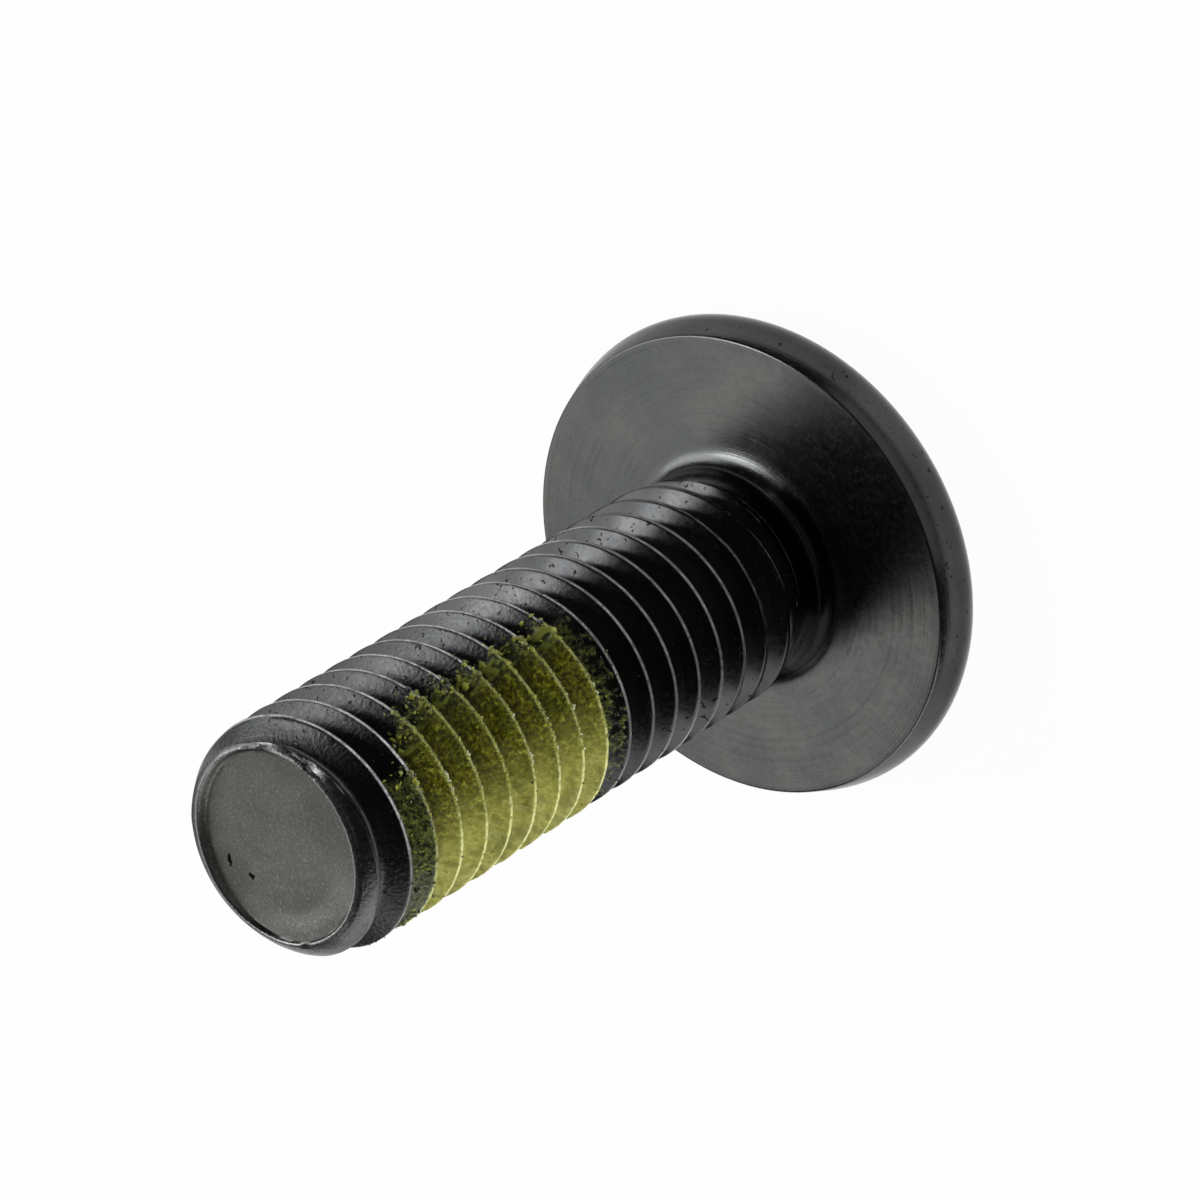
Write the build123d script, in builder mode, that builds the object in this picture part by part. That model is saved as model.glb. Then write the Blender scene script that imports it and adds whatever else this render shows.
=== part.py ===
from build123d import *
from math import acos, atan2, ceil, cos, degrees, hypot, radians, sin, tan
import os

# Star drive screw, M8 x 1.25, with a wide low head and a dry thread-locking patch.
# Millimetres. The screw stands on its head: the drive side is down at z = 0, the
# threaded shank rises along +Z, and the Z axis is the axis of the screw.
# The front of the screw, which shows one edge of the patch, faces -Y.

# ---------------------------------------------------------------- driving sizes
# Head
head_height = 3.6            # drive face to bearing face
bearing_diameter = 16.3      # edge of the flat bearing face
bearing_round = 0.12         # broken edge of the bearing face
rim_diameter = 16.95         # widest circle of the rim
rim_drop = 1.1               # bearing face to the widest circle
rim_radius = 1.0             # rounding of the rim, on the dome's side
dome_slope = 45.0            # slope at which the rim turns into the dome
land_diameter = 10.4         # flat ring round the drive recess
# Neck, the stretch of the rolling blank that stays plain
neck_diameter = 7.1
neck_length = 1.4            # bearing face to the end of the last groove
neck_fillet = 0.8
# Thread, right-hand
thread_diameter = 8.0
thread_pitch = 1.25
first_crest = 0.205          # tip to the first crest, on the front of the screw
shank_length = 24.3          # bearing face to the lip at the tip
groove_fade = 1.5            # the last groove grows shallow over this length
crest_fade = 1.0             # and its crests sink into the neck over this one
# Tip, a blank end turned up by the rolling dies into a lip round a shallow dish
lip_diameter = 6.28
tip_round = 1.15             # length over which the crests round off to the lip
lead_angle = 15.0            # slope of that rounding at the lip
lip_land = 0.05              # width of the lip's flat top
dish_depth = 0.28
dish_wall = 0.1              # how far the wall of the dish leans out
dish_sag = 0.06              # how much deeper its middle is
# Six-lobe drive recess, number 40
lobe_count = 6
lobe_diameter = 6.75         # across the points
waist_diameter = 4.85        # across the waists
lobe_radius = 0.546          # rounding of a point
recess_depth = 2.7
recess_cone = 130.0          # point angle of the cone that the punch leaves
recess_chamfer = 0.2         # at the mouth
# Thread-locking patch, a dry film over part of the thread
patch_start = 2.7            # tip to the patch
patch_length = 8.8
patch_angle = 150.0          # how far it goes round the screw
patch_edge = 28.0            # its edge, past the front of the screw towards +X
film_depth = 0.3             # adhesive over the root of the thread

# ---------------------------------------------------------------- derived sizes
flank_angle = 30.0           # half of the thread's 60 degrees
root_share = 17 / 24         # depth of the thread, of a sharp one's, as the metric standard has it
sink = 0.1                   # how far a trimming or joining surface reaches past its neighbour
rod_excess = 0.5             # how far a rod runs on past what trims it
front = -90.0                # direction of -Y, from +X

crest_radius = thread_diameter / 2
crest_width = thread_pitch / 8
sharp_depth = thread_pitch / 2 / tan(radians(flank_angle))
root_radius = crest_radius - root_share * sharp_depth
bearing_radius = bearing_diameter / 2
land_radius = land_diameter / 2
neck_radius = neck_diameter / 2
lip_radius = lip_diameter / 2
mouth_radius = lip_radius - lip_land
dish_radius = mouth_radius - dish_wall
tip_z = head_height + shank_length
neck_top = head_height + neck_length
rod_turns = ceil((shank_length - neck_length + 2 * rod_excess) / thread_pitch)
rod_base = tip_z + rod_excess - rod_turns * thread_pitch
patch_top = tip_z - patch_start
patch_base = patch_top - patch_length

flank_run = (crest_radius - root_radius) * tan(radians(flank_angle))

# The rim is an arc from the dome to the line that falls from the bearing edge.
rim_center = (rim_diameter / 2 - rim_radius, head_height - rim_drop)
edge_x = bearing_radius - rim_center[0]
rim_end = degrees(atan2(rim_drop, edge_x) - acos(rim_radius / hypot(edge_x, rim_drop)))

# The patch begins at the side away from its edge at the front.
sector_dir = Vector(1, 0, 0).rotate(Axis.Z, front + patch_edge - patch_angle)
sector_plane = Plane((0, 0, 0), x_dir=sector_dir, z_dir=sector_dir.cross(Vector(0, 0, 1)))

# A point of the star is an arc, and each waist is the arc that runs into two points.
lobe_step = 360 / lobe_count
lobe_reach = lobe_diameter / 2 - lobe_radius
waist_cos = cos(radians(lobe_step / 2))
waist_sin = sin(radians(lobe_step / 2))
waist_radius = (
    lobe_reach**2
    + waist_diameter**2 / 4
    - lobe_reach * waist_diameter * waist_cos
    - lobe_radius**2
) / (2 * lobe_radius + 2 * lobe_reach * waist_cos - waist_diameter)
waist_reach = waist_diameter / 2 + waist_radius
lobe_half_angle = degrees(atan2(waist_reach * waist_sin, waist_reach * waist_cos - lobe_reach))


def polar(radius, angle):
    """A point in a cross-section, by its radius and its angle in degrees."""
    return (radius * cos(radians(angle)), radius * sin(radians(angle)))


# ------------------------------------------------------------------ threaded rod
# One turn is the thread's cross-section, swept up one pitch with one twist. The
# cross-section of a single-start thread is a cam: its crest and its root are arcs,
# and each flank is a spiral, because a straight flank falls evenly with the angle.
# It is turned so that the crest meets the front at first_crest below the tip.
turn_angle = 360 / thread_pitch
half_crest = turn_angle * crest_width / 2
half_root = 180 - half_crest - turn_angle * flank_run
crest_angle = front + turn_angle * (rod_base - tip_z + first_crest)
crest_end = crest_angle + half_crest
crest_start = crest_angle + 360 - half_crest
root_angle = crest_angle + 180
root_start = root_angle - half_root
root_end = root_angle + half_root
spiral_steps = 8


def spiral(radius_a, angle_a, radius_b, angle_b):
    """An arc of a spiral whose radius changes evenly with its angle."""
    shares = [i / spiral_steps for i in range(spiral_steps + 1)]
    radii = [radius_a + share * (radius_b - radius_a) for share in shares]
    angles = [angle_a + share * (angle_b - angle_a) for share in shares]
    return Spline(*[polar(radius, angle) for radius, angle in zip(radii, angles)])


with BuildPart() as turn:
    with BuildLine():
        axis = Line((0, 0, rod_base), (0, 0, rod_base + thread_pitch))
    with BuildSketch(Plane.XY.offset(rod_base)):
        with BuildLine():
            fall = spiral(crest_radius, crest_end, root_radius, root_start)
            ThreePointArc(fall @ 1, polar(root_radius, root_angle), polar(root_radius, root_end))
            rise = spiral(root_radius, root_end, crest_radius, crest_start)
            ThreePointArc(rise @ 1, polar(crest_radius, crest_angle), fall @ 0)
        make_face()
    twist = Helix(thread_pitch, thread_pitch, crest_radius, center=(0, 0, rod_base), mode=Mode.PRIVATE)
    sweep(path=axis.edge(), binormal=twist)

# The turns stack up to a rod that is longer than the thread at both ends.
with BuildPart() as rod:
    with Locations(*[(0, 0, k * thread_pitch) for k in range(rod_turns)]):
        add(turn.part, clean=False)

# ----------------------------------------------------------------------- thread
# What the rod is trimmed to gives the thread its rounded lead at the tip and sinks
# its crests into the neck.
with BuildPart() as thread:
    add(rod.part, clean=False)
    with BuildSketch(Plane.XZ):
        with BuildLine():
            outside = crest_radius + sink
            lead = TangentArc(
                (lip_radius, tip_z),
                (outside, tip_z - tip_round),
                tangent=(cos(radians(lead_angle)), -sin(radians(lead_angle))),
            )
            Polyline(
                lead @ 1,
                (outside, neck_top + crest_fade),
                (neck_radius - sink, neck_top),
                (0, neck_top),
                (0, tip_z),
                lead @ 0,
            )
        make_face()
    revolve(axis=Axis.Z, mode=Mode.INTERSECT, clean=False)
    # Dished end
    with BuildSketch(Plane.XZ):
        with BuildLine():
            floor_z = tip_z - dish_depth
            TangentArc((0, floor_z - dish_sag), (dish_radius, floor_z), tangent=(1, 0))
            Polyline(
                (dish_radius, floor_z),
                (mouth_radius, tip_z),
                (mouth_radius, tip_z + sink),
                (0, tip_z + sink),
                (0, floor_z - dish_sag),
            )
        make_face()
    revolve(axis=Axis.Z, mode=Mode.SUBTRACT, clean=False)

# ------------------------------------------------------------------------ screw
with BuildPart() as screw:
    # Head and neck, turned about the axis, with the taper on which the groove ends
    with BuildSketch(Plane.XZ) as profile:
        with BuildLine():
            rim = CenterArc(rim_center, rim_radius, -dome_slope, dome_slope + rim_end)
            dome_run = (-sin(radians(dome_slope)), -cos(radians(dome_slope)))
            TangentArc(rim @ 0, (land_radius, 0), tangent=dome_run)
            Polyline(
                rim @ 1,
                (bearing_radius, head_height),
                (neck_radius, head_height),
                (neck_radius, neck_top),
                (root_radius - sink, neck_top + groove_fade),
                (0, neck_top + groove_fade),
                (0, 0),
                (land_radius, 0),
            )
        make_face()
        for corner_radius, rounding in ((bearing_radius, bearing_round), (neck_radius, neck_fillet)):
            corner = profile.vertices().sort_by_distance((corner_radius, head_height))[0]
            fillet(corner, rounding)
    revolve(axis=Axis.Z)
    # Six-lobe recess, punched from the drive face
    with BuildSketch(Plane.XY):
        with BuildLine():
            lobes = []
            for k in range(lobe_count):
                point_center = polar(lobe_reach, lobe_step * k)
                start_angle = lobe_step * k - lobe_half_angle
                lobes.append(CenterArc(point_center, lobe_radius, start_angle, 2 * lobe_half_angle))
            for k in range(lobe_count):
                waist = polar(waist_diameter / 2, lobe_step * (k + 0.5))
                ThreePointArc(lobes[k] @ 1, waist, lobes[(k + 1) % lobe_count] @ 0)
        make_face()
    extrude(amount=recess_depth, mode=Mode.SUBTRACT)
    # The punch leaves a cone at the bottom, and its shoulder breaks the mouth
    with BuildSketch(Plane.XZ):
        cone_radius = waist_diameter / 2
        cone_depth = cone_radius / tan(radians(recess_cone / 2))
        mouth = lobe_diameter / 2 + recess_chamfer
        with BuildLine():
            Polyline(
                (0, recess_depth),
                (cone_radius, recess_depth),
                (0, recess_depth + cone_depth),
                close=True,
            )
        make_face()
        with BuildLine():
            Polyline((0, 0), (mouth, 0), (0, mouth), close=True)
        make_face()
    revolve(axis=Axis.Z, mode=Mode.SUBTRACT)
    add(thread.part, clean=False)
screw.part.label = "screw"

# ------------------------------------------------------------ thread-lock patch
# The adhesive has run into the grooves, one strip to a turn, and bears on both
# flanks. On the crests only a stain of it is left, too thin to model.
with BuildPart() as thread_lock_patch:
    with BuildSketch(sector_plane):
        with Locations((root_radius - sink, patch_base)):
            Rectangle(film_depth + sink, patch_length, align=Align.MIN)
    revolve(axis=Axis.Z, revolution_arc=patch_angle)
    add(rod.part, mode=Mode.SUBTRACT, clean=False)
thread_lock_patch.part.label = "thread_lock_patch"

# ----------------------------------------------------------------------- output
os.makedirs("parts", exist_ok=True)
for piece in (screw, thread_lock_patch):
    export_step(piece.part, f"parts/{piece.part.label}.step")
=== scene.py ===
"""Looks of the star drive screw: black oxide steel with bare crests, and a dry thread-locking film.

The screw stands on its head, as in the frame. Sizes below are in millimetres and turned into
metres where a mesh or a lamp is made. Angles are in degrees, from +X towards +Y.
"""

from math import acos, atan2, cos, degrees, hypot, pi, radians, sin, tan

import bmesh
import bpy
import numpy as np
from mathutils import Matrix, Vector, noise


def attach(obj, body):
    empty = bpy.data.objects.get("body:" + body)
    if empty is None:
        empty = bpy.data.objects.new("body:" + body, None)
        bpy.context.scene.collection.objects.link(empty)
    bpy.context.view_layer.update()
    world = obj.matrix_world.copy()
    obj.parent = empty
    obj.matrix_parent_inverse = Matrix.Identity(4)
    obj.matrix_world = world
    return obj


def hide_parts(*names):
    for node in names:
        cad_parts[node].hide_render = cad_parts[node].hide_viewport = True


MM = 0.001
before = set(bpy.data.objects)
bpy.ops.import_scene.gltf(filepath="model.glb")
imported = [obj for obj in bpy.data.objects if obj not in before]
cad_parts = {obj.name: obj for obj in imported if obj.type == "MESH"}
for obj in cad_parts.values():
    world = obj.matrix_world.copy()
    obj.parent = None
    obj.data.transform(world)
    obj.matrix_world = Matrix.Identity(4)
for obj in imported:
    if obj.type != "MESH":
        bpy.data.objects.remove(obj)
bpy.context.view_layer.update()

# ------------------------------------------------------------------ sizes, as in the part
head_height = 3.6
bearing_radius = 8.15
rim_radius = 1.0
rim_reach = 8.473            # widest radius of the rim, a hair inside the solid
rim_drop = 1.1
dome_slope = 45.0
land_radius = 5.2
neck_radius = 3.55
neck_length = 1.4
neck_fillet = 0.8
crest_radius = 4.0
pitch = 1.25
first_crest = 0.205          # tip to the first crest, at the front
shank_length = 24.3
groove_fade = 1.5
crest_fade = 1.0
lip_radius = 3.14
tip_round = 1.15
lead_angle = 15.0
lobe_count = 6
lobe_point = 3.375           # radius at a point of the star
lobe_waist = 2.425           # radius at a waist of the star
lobe_radius = 0.546
recess_depth = 2.7
recess_cone = 130.0
recess_chamfer = 0.2
sink = 0.1                   # how far a trimming surface reaches past its neighbour

front = -90.0
flank_slope = tan(radians(30))
sharp_depth = pitch / 2 / flank_slope
thread_depth = sharp_depth * 17 / 24
root_radius = crest_radius - thread_depth
tip_z = head_height + shank_length
neck_top = head_height + neck_length

# ------------------------------------------------------------------ sizes of the looks
# Where a look changes along the axis or round it, a pair says where the change starts and ends.
# Round the axis, such a pair counts the degrees past the front, in the thread's direction.
columns = 144                # round the screw, a multiple of twice the lobes
merge_distance = 2e-8        # metres

# Broken edge of the bearing face, outwards and up from its corner
bearing_flat_end = -0.07
bearing_edge = (-0.03, -0.008), (0.012, -0.045)
# Rings this near to an edge keep it crisp
land_hold, mouth_hold, floor_hold, cone_hold = 0.04, 0.02, 0.05, 0.06

# End of the blank, just below the lip, where the groove begins
collar_radius = 3.28
collar_length = 0.4
collar_fade = 0.5
start_shift = 10.0           # the first crest begins this far before the front
crest_start = (-1, 14)       # and there it rises out of the collar
crest_start_end = (60, 100)
collar_swell = 0.3           # by this much
collar_back = 0.17           # the collar stays this much wider round the back
back_start, back_end = (70, 110), (235, 262)
next_crest = (343, 361)
next_swell = 0.1
end_shift = (0.12, 0.02)     # the blank's end is off the axis by this much
end_shift_over = (0.3, 1.4)  # from the tip down
last_crest_push = 0.16       # the dies push the last crest this far towards the tip
push_over = (0.45, 1.1)

# Lead, which the rolling leaves below its full radius
lead_excess = 0.1            # the lead's arc runs out to this much over the crests
lead_loss = 0.08
lead_loss_over = (0.9, 1.5)
loss_start, loss_end = (10, 60), (330, 350)
lead_flat = 0.10             # and this much more on one side
lead_flat_over = (1.1, 1.6)
flat_start, flat_end = (215, 260), (320, 350)

# Small relief: burrs on the crests, knocks on the lip, waves along it
burr_coarse, burr_fine = 0.008, 0.006
crest_sway = 0.012
lip_wave = 0.012
lip_sway = 0.014
knock_places = (
    # depth, angle, distance below the tip, half its size in degrees and in millimetres
    (0.10, -66, 0.16, 5, 0.14),
    (0.07, -34, 0.03, 4, 0.09),
    (0.05, -22, 0.02, 2.5, 0.06),
    (0.08, 159, 0.02, 2.5, 0.10),
)

# Bare line along the crests where the oxide is worn off
bare_line = (0.020, 0.050)   # half its width, in pitches, where it starts to fade and where it ends
bare_thinner = 0.008         # and this much less further down the shank
bare_thinner_over = (8, 17)  # from the tip down
bare_fainter = 0.68
bare_fainter_over = (5, 17)
bare_less = 0.65             # fainter on one side
less_start, less_end = (5, 45), (150, 200)

# Dish in the end face
sheet_top = tip_z - 0.12     # the thread's mesh ends here and the tip's rings begin
tip_drop = 0.02              # the lip stays this far below the CAD's tip
lip_profile = (
    # radius, height from the top of the lip, share of the waves that reach it
    (3.385, -0.09, 0.3),
    (3.31, -0.054, 0.6),
    (3.235, -0.022, 0.9),
    (3.185, -0.004, 1.0),
    (3.155, 0.0, 1.0),
    (3.128, -0.008, 1.0),
    (3.10, -0.035, 1.0),
    (3.065, -0.09, 1.0),
    (3.03, -0.17, 1.0),
    (2.995, -0.245, 1.0),
)
wall_from = 3.1              # inside this radius the lip's profile is the dish's wall
wall_drop = 0.012            # the wall ends this far above the floor's edge
floor_depth = 0.29           # dish, at its edge
floor_radius = 2.96
floor_sag = 0.06
floor_rings = 26
floor_waves, floor_grain = 0.008, 0.004
dish_wider = 0.05
dish_oval = 0.09             # how much longer it is across dish_across
dish_across = 49.0
low_wall = 0.19              # how much of its wall is missing on one side
low_wall_at = 165.0
low_wall_reach = 48.0
low_wall_over = (0.7, 1.0)   # shares of the floor's radius

# Thick film, between two crests counted from the tip
film_turns = (1.93, 9.14)
film_low, film_high = 16.35, 25.2    # which is this stretch of the axis at the front
film_middle = (film_low + film_high) / 2
film_fringe = 1.3                    # how much further thin patches of it go
film_from, film_to = -198.0, -42.0   # round the axis, all of the film's mesh
film_wrap = film_from - 60           # angles run one turn up from here
film_inset = 0.5                     # the thick film ends this far inside the mesh at the back
film_edge = -62.0                    # its edge near the front
film_slant = 28.0                    # how far that edge drops back near the tip
film_slant_from = 23.7
film_columns = 270
film_base, film_top = film_low - film_fringe - 0.1, film_high + film_fringe + 0.1
film_skin = 0.02                     # thickness on a crest
film_pool, film_pool_wave = 0.08, 0.04       # and how much more there is in a root
film_dip = 0.03                      # how far the mesh runs below the steel where the film ends
film_grain, film_fine = 0.010, 0.012         # its lumps
edge_lumps = 0.07                    # and those of its front edge
pale_from, pale_to = 34, 88          # painted light from below: the film grows paler over these degrees from its front edge

# Crumbs at the film's edges and beads on its crests
crumb_seed = 7
crumb_tries = 13000
bead_tries = 1100
edge_share = 0.85            # of the tries that stay as crumbs at the film's front edge
tip_share, head_share, stray_share = 0.34, 0.16, 0.03
crumb_least, crumb_more = 0.022, 0.09        # half across, and how much more at most
bead_least, bead_more = 0.03, 0.035
per_degree = crest_radius * pi / 180


def smooth(value, low, high):
    """0 below low, 1 above high, and a smooth step between."""
    share = np.clip((value - low) / (high - low), 0, 1)
    return share * share * (3 - 2 * share)


def field(x, y, z, seed=0.0):
    """Smooth noise, about -1 to 1, at each point of three arrays."""
    x, y, z = np.broadcast_arrays(x, y, z)
    flat = zip(x.ravel(), y.ravel(), z.ravel())
    values = [noise.noise((a + seed, b - seed, c + 2 * seed)) for a, b, c in flat]
    return np.array(values).reshape(x.shape)


# ------------------------------------------------------------------ thread form
def phase_at(angle, z):
    """Where a point lies between two crests, in pitches, 0 on a crest and +-0.5 in a root."""
    turns = (z - tip_z + first_crest) / pitch - (angle - front) / 360
    return (turns + 0.5) % 1.0 - 0.5


def thread_radius(phase):
    """Radius of the rolled thread: flat crest, straight flanks and a round root."""
    run = np.abs(phase) * pitch
    crest_half = pitch / 16
    root_round = sharp_depth / 6
    flank_end = pitch / 2 - root_round * cos(radians(30))
    flank = (run - crest_half) / flank_slope
    bottom = thread_depth - root_round + np.sqrt(
        np.maximum(root_round**2 - (pitch / 2 - run) ** 2, 0)
    )
    depth = np.where(run < flank_end, np.maximum(flank, 0), bottom)
    return crest_radius - depth


def circle_from(start, direction, end):
    """Centre and radius of the circle that leaves start along direction and passes through end."""
    normal = (direction[1], -direction[0])
    across = (end[0] - start[0], end[1] - start[1])
    radius = (across[0] ** 2 + across[1] ** 2) / 2 / (across[0] * normal[0] + across[1] * normal[1])
    return (start[0] + normal[0] * radius, start[1] + normal[1] * radius), radius


lead_direction = (cos(radians(lead_angle)), -sin(radians(lead_angle)))
lead_end = (crest_radius + lead_excess, -tip_round)
lead_center, lead_radius = circle_from((lip_radius, 0), lead_direction, lead_end)


def lead_radius_at(angle, z):
    """Radius of the rounded lead that trims the crests near the tip."""
    depth = tip_z - z
    lead = lead_center[0] + np.sqrt(np.maximum(lead_radius**2 - (depth + lead_center[1]) ** 2, 0))
    lead = np.where(depth < tip_round, lead, crest_radius + lead_excess)
    past_front = (front - angle) % 360
    loss = smooth(past_front, *loss_start) * (1 - smooth(past_front, *loss_end))
    loss = lead_loss * loss * (1 - smooth(depth, *lead_loss_over))
    flat = smooth(past_front, *flat_start) * (1 - smooth(past_front, *flat_end))
    return lead - loss - lead_flat * flat * (1 - smooth(depth, *lead_flat_over))


def collar_radius_at(angle, z):
    """Radius of the plain end of the blank, which carries the start of the first crest."""
    past_start = (front + start_shift - angle) % 360
    rise = smooth(past_start, *crest_start) * (1 - smooth(past_start, *crest_start_end))
    back = smooth(past_start, *back_start) * (1 - smooth(past_start, *back_end))
    swell = rise * collar_swell + back * collar_back + smooth(past_start, *next_crest) * next_swell
    fade = smooth(tip_z - z, collar_length, collar_length + collar_fade)
    return root_radius + (collar_radius + swell - root_radius) * (1 - fade)


def pushed(z):
    """Height of a point of the plain helix once the dies have pushed the last crest to the tip."""
    return z + last_crest_push * (1 - smooth(tip_z - z, *push_over))


def shank_radius(angle, z, helix_z=None):
    """Radius of the threaded shank at each angle and height."""
    lead = lead_radius_at(angle, z)
    sunk = neck_radius - sink + (z - neck_top) * (crest_radius - neck_radius + 2 * sink) / crest_fade
    core = neck_radius - (z - neck_top) * (neck_radius - root_radius + sink) / groove_fade
    thread = thread_radius(phase_at(angle, z if helix_z is None else helix_z))
    grooved = np.maximum(thread, collar_radius_at(angle, z))
    return np.maximum(core, np.minimum(np.minimum(lead, sunk), grooved))


# ------------------------------------------------------------------ mesh helpers
# Rows of a turn of the thread, in pitches from the crest, closer together where it bends
half_phases = [0, 0.025, 0.045, 0.058, 0.07, 0.09, 0.12, 0.155]
half_phases += [0.19, 0.23, 0.27, 0.315, 0.36, 0.41, 0.455]
phases = np.array(half_phases + [0.5] + [1 - p for p in reversed(half_phases[1:])])


def sheet_rows(low, high, slack):
    """Heights, at the front, of the rows of a helical sheet that covers low to high at all angles."""
    base = tip_z - first_crest
    first = int(np.floor((low - base - slack) / pitch)) - 1
    last = int(np.ceil((high - base + slack) / pitch)) + 1
    return np.concatenate([base + pitch * (turn + phases) for turn in range(first, last)])


def make_mesh(name, points, faces, marks, sharp=38.0):
    """A mesh object from millimetres, with merged points, and numbers on its points for the material."""
    mesh = bpy.data.meshes.new(name)
    mesh.from_pydata([tuple(p * MM) for p in points], [], faces)
    for mark, values in marks.items():
        layer = mesh.attributes.new(mark, "FLOAT", "POINT")
        layer.data.foreach_set("value", np.ascontiguousarray(values, dtype=np.float32))
    made = bmesh.new()
    made.from_mesh(mesh)
    bmesh.ops.remove_doubles(made, verts=made.verts, dist=merge_distance)
    loose = [v for v in made.verts if not v.link_faces]
    bmesh.ops.delete(made, geom=loose, context="VERTS")
    bmesh.ops.recalc_face_normals(made, faces=made.faces)
    made.to_mesh(mesh)
    made.free()
    mesh.shade_smooth()
    if sharp:
        mesh.set_sharp_from_angle(angle=radians(sharp))
    obj = bpy.data.objects.new(name, mesh)
    bpy.context.scene.collection.objects.link(obj)
    return obj


def to_points(radius, angle, z):
    """Rows of x, y and z from radius, angle and height, with the screw's end a little off the axis."""
    turn = np.radians(angle)
    at_end = 1 - smooth(tip_z - z, *end_shift_over)
    x = radius * np.cos(turn) + end_shift[0] * at_end
    y = radius * np.sin(turn) + end_shift[1] * at_end
    return np.stack([x, y, z], axis=-1).reshape(-1, 3)


def film_reach(angle, z):
    """How far a point lies inside the thick film's front edge, its back edge and its ends, in mm."""
    off = angle + 360 * (angle < film_wrap) - 360 * (angle > film_wrap + 360)
    edge = film_edge - film_slant * smooth(z, film_slant_from, film_high)
    turns = (tip_z - first_crest - z) / pitch + (off - front) / 360
    ends = np.minimum(turns - film_turns[0], film_turns[1] - turns) * pitch
    return (edge - off) * per_degree, (off - film_from) * per_degree - film_inset, ends


# ------------------------------------------------------------------ screw
def star_radius(angle):
    """Radius of the six-lobe star at each angle: arcs at the points run into arcs at the waists."""
    half_step = radians(180 / lobe_count)
    reach = lobe_point - lobe_radius
    waist_radius = (
        reach**2 + lobe_waist**2 - 2 * reach * lobe_waist * cos(half_step) - lobe_radius**2
    ) / (2 * lobe_radius + 2 * reach * cos(half_step) - 2 * lobe_waist)
    waist_reach = lobe_waist + waist_radius
    half_angle = atan2(waist_reach * sin(half_step), waist_reach * cos(half_step) - reach)
    join = atan2(lobe_radius * sin(half_angle), reach + lobe_radius * cos(half_angle))
    off = np.abs((np.radians(angle) + half_step) % (2 * half_step) - half_step)
    at_point = reach * np.cos(off) + np.sqrt(
        np.maximum(lobe_radius**2 - (reach * np.sin(off)) ** 2, 0)
    )
    to_waist = half_step - off
    at_waist = waist_reach * np.cos(to_waist) - np.sqrt(
        np.maximum(waist_radius**2 - (waist_reach * np.sin(to_waist)) ** 2, 0)
    )
    return np.where(off < join, at_point, at_waist)


def arc(center, radius, start, end, steps):
    """Points of an arc in the section plane, with its two ends."""
    turns = [radians(start + (end - start) * i / steps) for i in range(steps + 1)]
    return [(center[0] + radius * cos(t), center[1] + radius * sin(t)) for t in turns]


def head_section():
    """The head's outline from the neck, over the bearing face and the dome, to the recess's mouth."""
    rim_center = (rim_reach - rim_radius, head_height - rim_drop)
    edge_x = bearing_radius - rim_center[0]
    rim_end = degrees(atan2(rim_drop, edge_x) - acos(rim_radius / hypot(edge_x, rim_drop)))
    run = [(neck_radius, neck_top - i * (neck_length - neck_fillet) / 5) for i in range(1, 5)]
    run += arc((neck_radius + neck_fillet, head_height + neck_fillet), neck_fillet, 180, 270, 10)
    inner, outer = neck_radius + neck_fillet, bearing_radius + bearing_flat_end
    run += [(inner + (outer - inner) * i / 24, head_height) for i in range(1, 25)]
    rim = arc(rim_center, rim_radius, rim_end, -dome_slope, 22)
    run += [(bearing_radius + out, head_height + up) for out, up in bearing_edge]
    run += rim
    direction = (-sin(radians(dome_slope)), -cos(radians(dome_slope)))
    center, radius = circle_from(rim[-1], direction, (land_radius, 0))
    start = degrees(atan2(rim[-1][1] - center[1], rim[-1][0] - center[0]))
    end = degrees(atan2(-center[1], land_radius - center[0]))
    run += arc(center, radius, start, end, 14)[1:]
    mouth = lobe_point + recess_chamfer
    run += [(land_radius - land_hold, 0.0)]
    run += [(land_radius + (mouth - land_radius) * i / 8, 0) for i in range(1, 9)]
    return run


def recess_rings(angles):
    """Rings of the recess, from its chamfer down the star's wall to the middle of the punch's cone."""
    star = star_radius(angles)
    chamfer_end = lobe_point + recess_chamfer - star
    rings = [(star + mouth_hold, chamfer_end - mouth_hold)]
    for step in range(9):
        rings.append((star, chamfer_end + (recess_depth - floor_hold - chamfer_end) * step / 8))
    rings.append((star - floor_hold, np.full_like(star, recess_depth)))
    cone_top = np.minimum(star - cone_hold, lobe_waist)
    slope = 1 / tan(radians(recess_cone / 2))
    for step in range(9):
        radius = cone_top * (1 - step / 8)
        rings.append((radius, recess_depth + (lobe_waist - radius) * slope))
    return rings


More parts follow.
